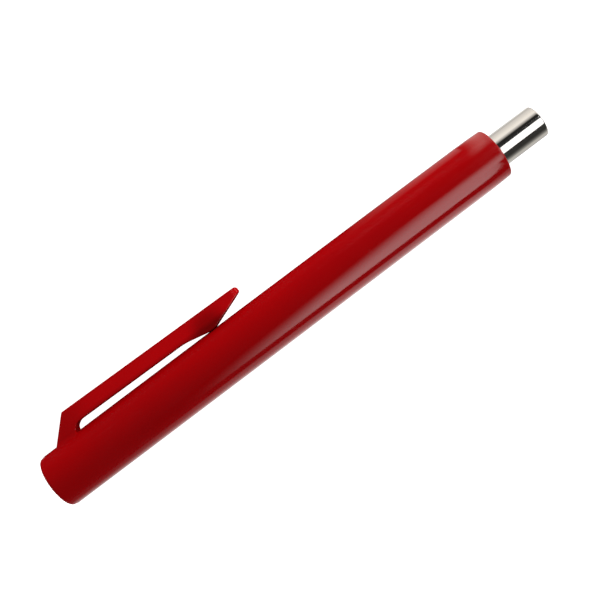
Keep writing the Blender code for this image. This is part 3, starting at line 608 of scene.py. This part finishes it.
def clip_outline():
    """Side view of foot and arm in one. Each corner is (x, y, how far its rounding reaches)."""
    clip = bpy.context.scene.pen_clip
    corner_x, corner_y = clip_corner()
    slot_x = clip.root + clip.foot_depth
    bump_x = CLIP_END - clip.bump_back
    run_x = bump_x - clip.bump_run
    rest_y = barrel_radius(bump_x)
    end_y = corner_y - clip.lean
    sunk = 0.9 * MM
    root_y = barrel_radius(clip.root)
    return [
        (clip.root - sunk / math.tan(clip.foot_angle), root_y - sunk, 0.0),
        (slot_x, root_y - sunk, 0.0),
        (slot_x, root_y, 0.0),
        (slot_x + clip.slot_lean, root_y + clip.slot_height, clip.slot_rounding),
        (run_x, barrel_radius(run_x) + clip.slot_end_height, 1.3 * MM),
        (bump_x - clip.bump_flat / 2, rest_y, 0.3 * MM),
        (bump_x + clip.bump_flat / 2, rest_y, 0.2 * MM),
        (CLIP_END, end_y - clip.end_thickness, 0.4 * MM),
        (CLIP_END, end_y, 0.7 * MM),
        (corner_x, corner_y, 0.33 * MM),
    ]


def plan_half_width(x):
    """Half the clip's width, which closes in a rounding at its end."""
    rounding = bpy.context.scene.pen_clip.plan_rounding
    into = max(0.0, x - (CLIP_END - rounding))
    return CLIP_HALF_WIDTH - rounding + math.sqrt(max(0.0, rounding ** 2 - into ** 2))


def cut_across(shape, places):
    for x in places:
        bmesh.ops.bisect_plane(
            shape, geom=shape.verts[:] + shape.edges[:] + shape.faces[:], dist=MERGE,
            plane_co=(x, 0, 0), plane_no=(1, 0, 0),
        )


def clip_shape(bend_start, bend_end):
    """Foot, arm, bump and upturned end as one solid, cut finely where it bends."""
    clip = bpy.context.scene.pen_clip
    shape = bmesh.new()
    outline = clip_outline()
    corners = [shape.verts.new((x, y, -CLIP_HALF_WIDTH)) for x, y, _ in outline]
    for pair in zip(corners, corners[1:] + corners[:1]):
        shape.edges.new(pair)
    round_corners(shape, corners, [reach for *_, reach in outline])
    side = bmesh.ops.contextual_create(shape, geom=shape.edges[:])["faces"]
    grown = bmesh.ops.extrude_face_region(shape, geom=side)
    bmesh.ops.translate(
        shape, verts=new_parts(grown, bmesh.types.BMVert), vec=(0, 0, 2 * CLIP_HALF_WIDTH),
    )
    bend_cuts, tip_cuts = 14, 7
    tip_start = CLIP_END - clip.plan_rounding
    cut_across(shape, [
        tip_start + clip.plan_rounding * math.sin(math.pi / 2 * i / tip_cuts)
        for i in range(tip_cuts)
    ])
    bmesh.ops.remove_doubles(shape, verts=shape.verts[:], dist=0.05 * MM)
    for vert in shape.verts:
        vert.co.z = math.copysign(plan_half_width(vert.co.x), vert.co.z)
    bmesh.ops.recalc_face_normals(shape, faces=shape.faces[:])
    rims = [e for e in shape.edges if e.is_manifold and e.calc_face_angle() > math.radians(60)
            and abs(e.verts[0].co.z - e.verts[1].co.z) < 0.5 * MM]
    bmesh.ops.bevel(
        shape, geom=rims, offset=clip.edge_rounding, offset_type="OFFSET", segments=4, profile=0.5,
        affect="EDGES", material=-1,
    )
    for way in (1, -1):
        flats = [f for f in shape.faces
                 if f.normal.z * way > 0.999 and f.calc_area() > 0.05 * MM * MM]
        bmesh.ops.inset_region(shape, faces=flats, thickness=HOLD / 2, use_even_offset=True)
    cut_across(shape, [bend_start + (bend_end - bend_start) * i / bend_cuts
                       for i in range(bend_cuts + 1)])
    bmesh.ops.recalc_face_normals(shape, faces=shape.faces[:])
    return shape


def flare_shape():
    """The fillet round the clip's foot: rings that curve from its walls onto the barrel."""
    clip = bpy.context.scene.pen_clip
    back, front = clip.root, clip.root + clip.foot_depth
    corner = clip.edge_rounding
    shape = bmesh.new()
    plan = shape.verts.layers.float_vector.new("plan")
    corners = [
        shape.verts.new((x, 0.0, z * CLIP_HALF_WIDTH)) for x, z in
        ((back, -1), (front, -1), (front, 1), (back, 1))
    ]
    for pair in zip(corners, corners[1:] + corners[:1]):
        shape.edges.new(pair)
    round_corners(shape, corners, [corner] * 4)
    sides = [e for e in shape.edges if e.calc_length() > 2 * corner]
    side_cuts = 24
    bmesh.ops.subdivide_edges(shape, edges=sides, cuts=side_cuts)
    for vert in shape.verts:
        vert[plan] = vert.co.copy()

    def place(vert, out, up):
        spot = vert[plan]
        inner = Vector((
            min(max(spot.x, back + corner), front - corner), 0.0,
            math.copysign(min(abs(spot.z), CLIP_HALF_WIDTH - corner), spot.z),
        ))
        facing = (spot - inner).normalized()
        radius = facing.z ** 2 * clip.flare + facing.x ** 2 * (
            clip.slot_flare if facing.x > 0 else clip.back_flare)
        height = up * radius
        forward = (spot.x - back) / (front - back)
        slope = ((1 - forward) / math.tan(clip.foot_angle)
                 + forward * clip.slot_lean / clip.slot_height)
        x = spot.x + height * slope + facing.x * out * radius
        z = spot.z + facing.z * out * radius
        vert.co = (x, math.sqrt(barrel_radius(x) ** 2 - z ** 2) + height, z)

    tuck = 0.01
    rings = [(-tuck, 1.5), (-tuck / 4, 1.15), (0.0, 1.0)]
    arc_steps = 12
    for i in range(1, arc_steps + 1):
        turn = math.pi / 2 * i / arc_steps
        rings.append((1.0 - math.cos(turn), 1.0 - math.sin(turn)))
    rings += [(1.12, -tuck / 4), (1.2, -tuck), (1.1, -0.4)]
    ring = shape.edges[:]
    first = list(ring)
    for i, (out, up) in enumerate(rings):
        if i:
            grown = bmesh.ops.extrude_edge_only(shape, edges=ring)
            verts = set(new_parts(grown, bmesh.types.BMVert))
            ring = [e for e in new_parts(grown, bmesh.types.BMEdge)
                    if e.verts[0] in verts and e.verts[1] in verts]
        else:
            verts = set(shape.verts)
        for vert in verts:
            place(vert, out, up)
    for loop in (first, ring):
        bmesh.ops.contextual_create(shape, geom=loop)
    bmesh.ops.recalc_face_normals(shape, faces=shape.faces[:])
    return shape


class PEN_OT_clip(bpy.types.Operator):
    """Shapes the clip, foot and arm in one, and the flare where the foot meets the barrel"""

    bl_idname = "pen.clip"
    bl_label = "Clip"

    def execute(self, context):
        clip = context.scene.pen_clip
        bend_start = clip.root + clip.foot_depth + 0.2 * MM
        bend_end = bend_start + 4.8 * MM
        arm = add_piece(clip_shape(bend_start, bend_end), "pocket_clip", "red_plastic",
                        stands_for=["clip_arm"])
        arm.data.materials[0] = clip_plastic("pen_clip_plastic")
        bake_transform(arm)
        add_piece(flare_shape(), "clip_root", "red_plastic", "barrel")
        return {"FINISHED"}


# ---------------------------------------------------------------- nose

def nose_outline():
    nose = bpy.context.scene.pen_nose
    rear, front = span("nose_tube")
    bore = nose.radius - nose.wall
    flange = radius_of("nose_tube")
    return [
        (rear, bore, 0.1 * MM), (rear, flange, 0.15 * MM),
        (rear + nose.flange, flange, 0.15 * MM),
        (rear + nose.flange, nose.radius, 0.0), (BARREL_LENGTH, nose.radius, 0.0),
        (front - nose.rounding - HOLD, nose.radius, 0.0), (front, nose.radius, nose.rounding),
        (front, nose.radius - nose.rounding - HOLD, 0.0),
        (front, nose.hole + HOLD + 0.15 * MM, 0.0),
        (front, nose.hole, 0.15 * MM), (front - nose.end_wall, nose.hole, 0.1 * MM),
        (front - nose.end_wall, bore, 0.25 * MM),
    ]


def guide_outline():
    """Plastic guide inside the nose, with the counterbore that seats the spring."""
    rear, front = span("nose_insert")
    outer = radius_of("nose_insert")
    seat_x = span("spring_seat")[1] + SEAT_GAP
    seat = radius_of("spring_seat") + SEAT_GAP
    bore = 1.3 * MM
    return [
        (rear, seat, 0.1 * MM), (rear, outer, 0.15 * MM), (front, outer, 0.4 * MM),
        (front, bore, 0.2 * MM), (seat_x, bore, 0.1 * MM), (seat_x, seat, 0.0),
    ]


def bush_outline():
    """Bush in the barrel's mouth, grooved inside for the friction ring."""
    rear, front = span("front_bush")
    outer = radius_of("front_bush")
    bore = bpy.context.scene.pen_nose.radius + 0.08 * MM
    ring_rear, ring_front = span("friction_ring")
    groove = radius_of("friction_ring") + SEAT_GAP
    return [
        (rear, bore, 0.1 * MM), (rear, outer, 0.1 * MM), (front, outer, 0.1 * MM),
        (front, bore, 0.15 * MM), (ring_front + SEAT_GAP, bore, 0.0),
        (ring_front + SEAT_GAP, groove, 0.0), (ring_rear - SEAT_GAP, groove, 0.0),
        (ring_rear - SEAT_GAP, bore, 0.0),
    ]


class PEN_OT_nose(bpy.types.Operator):
    """Turns the chrome nose, the guide inside it and the bush it turns in"""

    bl_idname = "pen.nose"
    bl_label = "Nose"

    def execute(self, context):
        add_piece(turned(nose_outline(), TURN_STEPS), "nose_shell", "chrome", "nose", ["nose_tube"])
        add_piece(turned(guide_outline(), SMALL_TURN_STEPS), "nose_guide", "white_plastic", "nose",
                  ["nose_insert"])
        add_piece(turned(bush_outline(), TURN_STEPS), "mouth_bush", "black_plastic", "barrel",
                  ["front_bush"])
        return {"FINISHED"}


# ---------------------------------------------------------------- writing tip

def tip_outline():
    """Brass tip: shank, shoulder, cone and the thin rim that holds the ball."""
    rear, rim = span("refill_tip")
    shoulder = span("tip_adapter")[1] + SEAT_GAP
    ball_low, ball_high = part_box("writing_ball")
    ball_x = (ball_low.x + ball_high.x) / 2
    ball = ball_high.z
    play = 0.05 * MM
    feed = 0.22 * MM
    rim_hole = math.sqrt(ball ** 2 - (rim - ball_x) ** 2) + play
    socket_rear = ball_x - ball * 0.8
    outer = radius_of("refill_tip")
    return [
        (rear, feed, 0.05 * MM), (rear, 0.82 * MM, 0.08 * MM), (shoulder, 0.82 * MM, 0.0),
        (shoulder, outer, 0.08 * MM), (rim - 3.5 * MM, outer, 0.25 * MM),
        (rim - 0.5 * MM, 0.46 * MM, 0.15 * MM), (rim, 0.4 * MM, 0.02 * MM),
        (rim, rim_hole, 0.01 * MM),
        (ball_x + play, ball + play, 0.0), (socket_rear, ball + play, 0.0),
        (socket_rear - 0.3 * MM, feed, 0.0),
    ]


def ball_shape():
    low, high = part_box("writing_ball")
    shape = bmesh.new()
    bmesh.ops.create_icosphere(shape, subdivisions=4, radius=high.z)
    bmesh.ops.translate(shape, verts=shape.verts[:], vec=(low + high) / 2)
    return shape


class PEN_OT_tip(bpy.types.Operator):
    """Turns the brass tip and sets the ball in it"""

    bl_idname = "pen.tip"
    bl_label = "Writing tip"

    def execute(self, context):
        add_piece(turned(tip_outline(), SMALL_TURN_STEPS), "tip_cone", "brass", "refill",
                  ["refill_tip"])
        add_piece(ball_shape(), "tip_ball", "carbide", "refill", ["writing_ball"])
        return {"FINISHED"}


class PEN_OT_inner_finish(bpy.types.Operator):
    """Gives every inner piece of the frame that still shows its own finish"""

    bl_idname = "pen.inner_finish"
    bl_label = "Inner pieces' finish"

    def execute(self, context):
        slots = {row["node"]: row["material_slot"] for row in frame["record"]["subparts"]}
        for name, node in frame["nodes"].items():
            if not node.hide_render:
                node.data.materials.clear()
                node.data.materials.append(finish(slots[name]))
        return {"FINISHED"}


# ---------------------------------------------------------------- studio

def mirror_spot(x, lean, reach):
    """Where a card must be for the camera to see it in the pen at x.

    lean is the angle from straight up at which the pen throws the camera's line of sight,
    toward -Y, and the card lies in the plane that is reach away along both -Y and +Z.
    """
    studio = bpy.context.scene.pen_studio
    run = (x - studio.camera_x) / (studio.camera_height - REAR_RADIUS)
    turn = math.radians(lean)
    far = reach / (math.sin(turn) + math.cos(turn))
    return Vector((x + run * far, -far * math.sin(turn), far * math.cos(turn)))


def card(name, corners, material):
    """A flat card that only reflections see."""
    shape = bmesh.new()
    shape.faces.new([shape.verts.new(corner) for corner in corners])
    mesh = bpy.data.meshes.new(name)
    shape.to_mesh(mesh)
    shape.free()
    mesh.materials.append(material)
    obj = bpy.data.objects.new(name, mesh)
    bpy.context.scene.collection.objects.link(obj)
    for ray in ("camera", "diffuse", "transmission", "volume_scatter", "shadow"):
        setattr(obj, "visible_" + ray, False)
    return obj


def glow(name, tint, strength):
    """An emission material whose strength may be a number or a function of the tree and place."""
    material = bpy.data.materials.new(name)
    tree = emptied(material)
    place = tree.nodes.new("ShaderNodeTexCoord").outputs["Object"]
    light = add(tree, "ShaderNodeEmission", {"Color": (*tint, 1.0)})
    if callable(strength):
        tree.links.new(strength(tree, place), light.inputs["Strength"])
    else:
        light.inputs["Strength"].default_value = strength
    output = tree.nodes.new("ShaderNodeOutputMaterial")
    tree.links.new(light.outputs["Emission"], output.inputs["Surface"])
    return material


def along(tree, place, direction, low, high, to_low, to_high):
    """A value that runs from one number to another along a direction."""
    dot = add(tree, "ShaderNodeVectorMath", {0: place, 1: direction}, operation="DOT_PRODUCT")
    return remap(tree, dot.outputs["Value"], low, high, to_low, to_high)


def softbox_glow(top_left, top_right, brightness):
    """Fades in from the softbox's upper edges and dims toward the blunt end."""
    slanted = (top_right - top_left).cross(Vector((0, -1, 1))).normalized()
    level = Vector((0, -1, -1)).normalized()
    reach = 130 * MM

    def strength(tree, place):
        edges = [along(tree, place, way, way.dot(top_right), way.dot(top_right) + reach, 0.0, 1.0)
                 for way in (slanted if slanted.z < 0 else -slanted, level)]
        fade = remap(tree, maths(tree, "MINIMUM", *edges), 0.0, 1.0, smooth=True)
        dim = remap(tree, along(tree, place, (1, 0, 0), 0.0, 95 * MM, 0.0, 1.0), 0.0, 1.0,
                    smooth=True)
        return maths(tree, "MULTIPLY", maths(tree, "MULTIPLY", fade, dim), brightness)

    return strength


def bounce_glow(tree, place):
    """A cream sheet behind the nose, dark above, that fades in and is brightest at the mouth."""
    rise = along(tree, place, (0, 0, 1), -7 * MM, 6.5 * MM, 0.45, 0.95)
    fall = maths(tree, "POWER", along(tree, place, (0, 0, 1), 9 * MM, 18.5 * MM, 1.0, 0.03), 1.2)
    mouth = along(tree, place, (1, 0, 0), BARREL_LENGTH, BARREL_LENGTH + 3 * MM, 1.8, 1.0)
    start = remap(tree, along(tree, place, (1, 0, 0), BOUNCE_START, BARREL_LENGTH + 1 * MM,
                              0.0, 1.0), 0.0, 1.0, smooth=True)
    return maths(tree, "MULTIPLY", maths(tree, "MULTIPLY", rise, fall),
                 maths(tree, "MULTIPLY", mouth, start))


def flag_glow(tree, place):
    """A dark flag in front of the nose, with the floor's light creeping up it."""
    creep = maths(tree, "POWER", along(tree, place, (0, 0, 1), -2 * MM, 7 * MM, 1.06, 0.0), 2.3)
    return remap(tree, creep, 0.0, 1.0, 0.03, 0.53)


def near_ends(tree, place):
    """The floor just past both ends of the pen, which their roundings mirror."""
    past_blunt = maths(tree, "MULTIPLY", along(tree, place, (-1, 0, 0), 1 * MM, 2 * MM, 0.0, 6.0),
                       along(tree, place, (-1, 0, 0), 30 * MM, 50 * MM, 1.0, 0.0))
    past_mouth = along(tree, place, (1, 0, 0), 127 * MM, 128 * MM, 0.0, 0.7)
    narrow = maths(tree, "MULTIPLY", along(tree, place, (0, 1, 0), 8 * MM, 12 * MM, 1.0, 0.0),
                   along(tree, place, (0, -1, 0), 8 * MM, 12 * MM, 1.0, 0.0))
    return maths(tree, "MULTIPLY", narrow, maths(tree, "ADD", past_blunt, past_mouth))


def floor_material():
    """White to the eye. In reflections, bright in front of the pen and dim behind it."""
    material = bpy.data.materials.new("floor_white")
    tree = emptied(material)
    place = tree.nodes.new("ShaderNodeTexCoord").outputs["Object"]
    side = along(tree, place, (0, -1, 0), -1 * MM, 1 * MM, 0.0, 1.0)
    spread = add(tree, "ShaderNodeMix", {
        "Factor": along(tree, place, (0, -1, 0), 11 * MM, 24 * MM, 0.0, 1.0),
        "A": along(tree, place, (1, 0, 0), 0.0, 100 * MM, 0.7, 1.3),
        "B": along(tree, place, (1, 0, 0), 0.0, 100 * MM, 0.1, 1.1)}).outputs["Result"]
    front = maths(
        tree, "MULTIPLY", along(tree, place, (0, -1, 0), 45 * MM, 80 * MM, 1.0, 0.0),
        maths(tree, "MINIMUM", spread,
              along(tree, place, (1, 0, 0), 122 * MM, 134 * MM, 1.3, 0.45)))
    behind = maths(
        tree, "MULTIPLY", along(tree, place, (0, 1, 0), 20 * MM, 75 * MM, 1.0, 0.0),
        along(tree, place, (1, 0, 0), 90 * MM, 150 * MM, 0.0, 1.0))
    ends = near_ends(tree, place)
    sides = add(tree, "ShaderNodeMix", {"Factor": side, "A": behind, "B": front}).outputs["Result"]
    lit = maths(tree, "MAXIMUM", sides, ends)
    paper = add(tree, "ShaderNodeEmission", {"Color": (1.0, 1.0, 1.0, 1.0), "Strength": 0.97})
    diffuse = add(tree, "ShaderNodeBsdfDiffuse", {"Color": (0.6, 0.6, 0.6, 1.0)})
    seen = add(tree, "ShaderNodeAddShader")
    tree.links.new(paper.outputs["Emission"], seen.inputs[0])
    tree.links.new(diffuse.outputs["BSDF"], seen.inputs[1])
    mirrored = add(tree, "ShaderNodeEmission", {
        "Color": (1.0, 0.98, 0.96, 1.0), "Strength": lit})
    choose = add(tree, "ShaderNodeMixShader", {
        0: tree.nodes.new("ShaderNodeLightPath").outputs["Is Glossy Ray"]})
    tree.links.new(seen.outputs["Shader"], choose.inputs[1])
    tree.links.new(mirrored.outputs["Emission"], choose.inputs[2])
    output = tree.nodes.new("ShaderNodeOutputMaterial")
    tree.links.new(choose.outputs["Shader"], output.inputs["Surface"])
    return material


def build_world(fill):
    """A white surround to the eye, an even fill on matt surfaces, and a dim room in reflections."""
    world = bpy.data.worlds.new("studio")
    tree = emptied(world)
    path = tree.nodes.new("ShaderNodeLightPath")
    level = add(tree, "ShaderNodeMix", {
        "Factor": path.outputs["Is Glossy Ray"], "A": fill, "B": 0.02})
    level = add(tree, "ShaderNodeMix", {
        "Factor": path.outputs["Is Camera Ray"], "A": level.outputs["Result"], "B": 1.0})
    light = add(tree, "ShaderNodeBackground", {"Strength": level.outputs["Result"]})
    light.inputs["Color"].default_value = (1.0, 1.0, 1.0, 1.0)
    output = tree.nodes.new("ShaderNodeOutputWorld")
    tree.links.new(light.outputs["Background"], output.inputs["Surface"])
    bpy.context.scene.world = world


def soft_light(name, place, power):
    """A large light for matt surfaces, aimed at the pen and unseen in reflections."""
    light = bpy.data.lights.new(name, "AREA")
    light.shape, light.size, light.size_y, light.energy = "RECTANGLE", 0.35, 0.25, power
    obj = bpy.data.objects.new(name, light)
    obj.location = place
    obj.rotation_euler = (PEN_MIDDLE - place).to_track_quat("-Z", "Y").to_euler()
    obj.visible_glossy = False
    bpy.context.scene.collection.objects.link(obj)


class PEN_OT_studio(bpy.types.Operator):
    """Lays the floor, hangs the softbox, cards and lights, and sets the camera"""

    bl_idname = "pen.studio"
    bl_label = "Studio"

    def execute(self, context):
        scene = context.scene
        studio = scene.pen_studio
        floor_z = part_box("barrel")[0].z - 0.1 * MM
        half = 2.0
        floor = card("floor", [(-half, -half, floor_z), (half, -half, floor_z),
                               (half, half, floor_z), (-half, half, floor_z)], floor_material())
        for ray in ("camera", "diffuse", "transmission", "volume_scatter", "shadow"):
            setattr(floor, "visible_" + ray, True)

        reach = 300 * MM
        top = [mirror_spot(x * MM, lean, reach)
               for x, lean in ((30, 37), (43, 32), (61, 25), (94, 8), (134, 8), (140, -4))]
        low = [mirror_spot(x * MM, lean, reach)
               for x, lean in ((134.3, 41), (131.7, 52), (129.5, 66), (126, 74.5), (61, 75),
                               (30, 72))]
        right = Vector((250 * MM, 0, 0))
        card("softbox", top + [top[-1] + right, low[0] + right] + low,
             glow("softbox_white", (1.0, 0.99, 0.98),
                  softbox_glow(top[2], top[3], studio.softbox)))

        far_x = BARREL_LENGTH + 80 * MM
        side = 12 * MM
        for name, start_x, y, top_z, tint, strength in (
                ("nose_flag", BARREL_LENGTH + 2 * MM, -side, 16.6 * MM, (1.0, 0.96, 0.88),
                 flag_glow),
                ("nose_bounce", BOUNCE_START, side, 34 * MM, (1.0, 0.94, 0.86), bounce_glow)):
            card(name, [(start_x, y, floor_z), (far_x, y, floor_z), (far_x, y, top_z),
                        (start_x, y, top_z)], glow(name, tint, strength))
        over_z = 19 * MM
        over_x = BARREL_LENGTH + 4.6 * MM
        card("nose_card", [(over_x, -14 * MM, over_z), (far_x, -14 * MM, over_z),
                           (far_x, 1.6 * MM, over_z), (over_x, 1.6 * MM, over_z)],
             glow("nose_white", (1.0, 0.99, 0.98), 1.4))
        card("end_card", [(360 * MM, 130 * MM, 100 * MM), (360 * MM, 450 * MM, 100 * MM),
                          (360 * MM, 450 * MM, 600 * MM), (360 * MM, 130 * MM, 600 * MM)],
             glow("end_white", (1.0, 0.98, 0.95), 1.3))
        for name, place, power in (("key", (0.30, 0.45, 0.21), studio.key),
                                   ("side", (0.33, 0.0, 0.34), studio.side)):
            soft_light(name, Vector(place), power)

        build_world(studio.fill)
        camera = bpy.data.cameras.new("camera")
        camera.lens = studio.lens
        camera.sensor_width = 36.0
        camera.clip_start = 0.005
        camera_place = bpy.data.objects.new("camera", camera)
        camera_y = -0.05 * MM
        camera_place.location = (studio.camera_x, camera_y, studio.camera_height)
        camera_place.rotation_euler = (0.0, 0.0, studio.camera_turn)
        scene.collection.objects.link(camera_place)
        scene.camera = camera_place
        scene.view_settings.view_transform = "Standard"
        return {"FINISHED"}


# ---------------------------------------------------------------- sidebar and running

class VIEW3D_PT_pen(bpy.types.Panel):
    """The pen's sizes and colours, and the steps that build it"""

    bl_label = "Pen"
    bl_space_type = "VIEW_3D"
    bl_region_type = "UI"
    bl_category = "Pen"

    def draw(self, context):
        for name in GROUPS:
            box = self.layout.box()
            box.label(text=name.split("_")[1].capitalize())
            group = getattr(context.scene, name)
            for prop in group.__annotations__:
                box.prop(group, prop)
        for step in STEPS:
            self.layout.operator(step.bl_idname)


GROUPS = {
    "pen_barrel": BarrelShape, "pen_clip": ClipShape, "pen_nose": NoseShape,
    "pen_finish": PenFinish, "pen_studio": Studio,
}
STEPS = (PEN_OT_barrel, PEN_OT_clip, PEN_OT_nose, PEN_OT_tip, PEN_OT_inner_finish, PEN_OT_studio)
CLASSES = (*GROUPS.values(), *STEPS, VIEW3D_PT_pen)


def register():
    for cls in CLASSES:
        bpy.utils.register_class(cls)
    for name, group in GROUPS.items():
        setattr(bpy.types.Scene, name, PointerProperty(type=group))


def unregister():
    for name in GROUPS:
        delattr(bpy.types.Scene, name)
    for cls in reversed(CLASSES):
        bpy.utils.unregister_class(cls)


def main():
    register()
    bpy.ops.pen.barrel()
    bpy.ops.pen.clip()
    bpy.ops.pen.nose()
    bpy.ops.pen.tip()
    bpy.ops.pen.inner_finish()
    bpy.ops.pen.studio()


if __name__ == "__main__":
    main()
